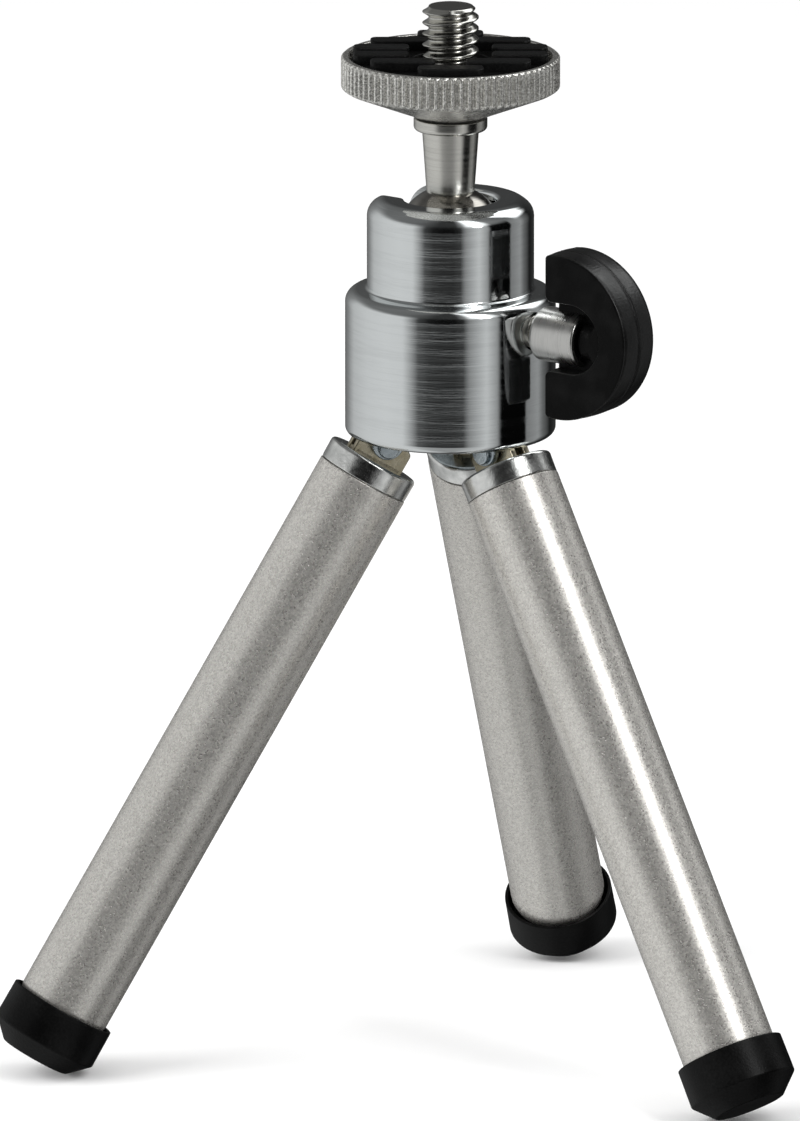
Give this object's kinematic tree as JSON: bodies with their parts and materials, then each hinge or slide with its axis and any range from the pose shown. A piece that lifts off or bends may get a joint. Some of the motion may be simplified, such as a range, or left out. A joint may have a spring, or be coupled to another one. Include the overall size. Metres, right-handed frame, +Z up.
{
  "type": "mini tabletop tripod",
  "caption": "Mini tabletop tripod: slotted ball head with a winged clamp knob, quarter-inch camera screw, folding telescopic legs and black rubber feet.",
  "frame": {"origin": "on the surface that the tripod stands on, under the middle of the footprint of the whole tripod with its legs spread and shortened and its knob", "axes": "+Z up; +X from the head towards the winged clamp knob; the slot for upright framing faces -X; +Y completes a right-handed frame"},
  "size_m": [0.0874, 0.0918, 0.1206],
  "materials": {
    "bright_chrome": "polished chrome with fine turning lines",
    "turned_nickel": "turned steel, nickel plated",
    "zinc_plate": "bluish zinc plating",
    "yellow_zinc": "yellowish passivated zinc plating",
    "satin_silver": "satin metallic silver with a fine sparkle",
    "black_rubber": "matt black rubber",
    "black_plastic": "moulded black plastic, half gloss",
    "white_nylon": "natural white nylon"
  },
  "bodies": {
    "head": {"head_housing": "bright_chrome", "core_plug": "zinc_plate", "lug_plate": "zinc_plate", "plate_screw": "zinc_plate", "leg_1_rivet": "zinc_plate", "leg_2_rivet": "zinc_plate", "leg_3_rivet": "zinc_plate"},
    "ball": {"ball": "turned_nickel"},
    "stem": {"ball_stem": "turned_nickel"},
    "platform": {"knurled_disc": "turned_nickel", "platform_pad": "black_rubber", "camera_screw": "turned_nickel"},
    "cup": {"pressure_cup": "white_nylon"},
    "clamp_screw": {"clamp_screw": "turned_nickel"},
    "knob": {"clamp_boss": "turned_nickel", "clamp_knob": "black_plastic"},
    "leg_1": {"leg_1_bracket": "yellow_zinc", "leg_1_cap": "turned_nickel", "leg_1_outer_tube": "satin_silver"},
    "leg_1_inner": {"leg_1_inner_tube": "turned_nickel", "leg_1_guide_bush": "white_nylon", "leg_1_foot": "black_rubber"},
    "leg_2": {"leg_2_bracket": "yellow_zinc", "leg_2_cap": "turned_nickel", "leg_2_outer_tube": "satin_silver"},
    "leg_2_inner": {"leg_2_inner_tube": "turned_nickel", "leg_2_guide_bush": "white_nylon", "leg_2_foot": "black_rubber"},
    "leg_3": {"leg_3_bracket": "yellow_zinc", "leg_3_cap": "turned_nickel", "leg_3_outer_tube": "satin_silver"},
    "leg_3_inner": {"leg_3_inner_tube": "turned_nickel", "leg_3_guide_bush": "white_nylon", "leg_3_foot": "black_rubber"}
  },
  "joints": [
    {"name": "head_roll", "type": "hinge", "parent": "head", "child": "ball", "pos_m": [-0.00819, -0.00356, 0.09367], "axis": [1, 0, 0], "range_deg": [-15, 15]},
    {"name": "head_tilt", "type": "hinge", "parent": "ball", "child": "stem", "pos_m": [-0.00819, -0.00356, 0.09367], "axis": [0, -1, 0], "range_deg": [-15, 90]},
    {"name": "platform_turn", "type": "hinge", "parent": "stem", "child": "platform", "pos_m": [-0.00819, -0.00356, 0.11157], "axis": [0, 0, 1], "continuous": true},
    {"name": "clamp_travel", "type": "slide", "parent": "head", "child": "clamp_screw", "axis": [1, 0, 0], "range_m": [0, 0.0007]},
    {"name": "clamp_turn", "type": "hinge", "parent": "clamp_screw", "child": "knob", "pos_m": [-0.00819, -0.00356, 0.08477], "axis": [1, 0, 0], "range_deg": [0, 360]},
    {"name": "cup_drop", "type": "slide", "parent": "head", "child": "cup", "axis": [0, 0, -1], "range_m": [0, 0.0007]},
    {"name": "leg_1_fold", "type": "hinge", "parent": "head", "child": "leg_1", "pos_m": [-0.00049, -0.00477, 0.07067], "axis": [0.1564, 0.9877, 0], "range_deg": [0, 30.5]},
    {"name": "leg_1_extend", "type": "slide", "parent": "leg_1", "child": "leg_1_inner", "axis": [0.5013, -0.0794, -0.8616], "range_m": [0, 0.034]},
    {"name": "leg_2_fold", "type": "hinge", "parent": "head", "child": "leg_2", "pos_m": [-0.01099, 0.00373, 0.07067], "axis": [-0.9336, -0.3584, 0], "range_deg": [0, 30.5]},
    {"name": "leg_2_extend", "type": "slide", "parent": "leg_2", "child": "leg_2_inner", "axis": [-0.1819, 0.4738, -0.8616], "range_m": [0, 0.034]},
    {"name": "leg_3_fold", "type": "hinge", "parent": "head", "child": "leg_3", "pos_m": [-0.0131, -0.00962, 0.07067], "axis": [0.7771, -0.6293, 0], "range_deg": [0, 30.5]},
    {"name": "leg_3_extend", "type": "slide", "parent": "leg_3", "child": "leg_3_inner", "axis": [-0.3194, -0.3944, -0.8616], "range_m": [0, 0.034]}
  ],
  "couplings": [
    {"joint": "clamp_turn", "follows": "clamp_travel", "rad_per_m": 8976},
    {"joint": "cup_drop", "follows": "clamp_travel", "ratio": 1}
  ]
}
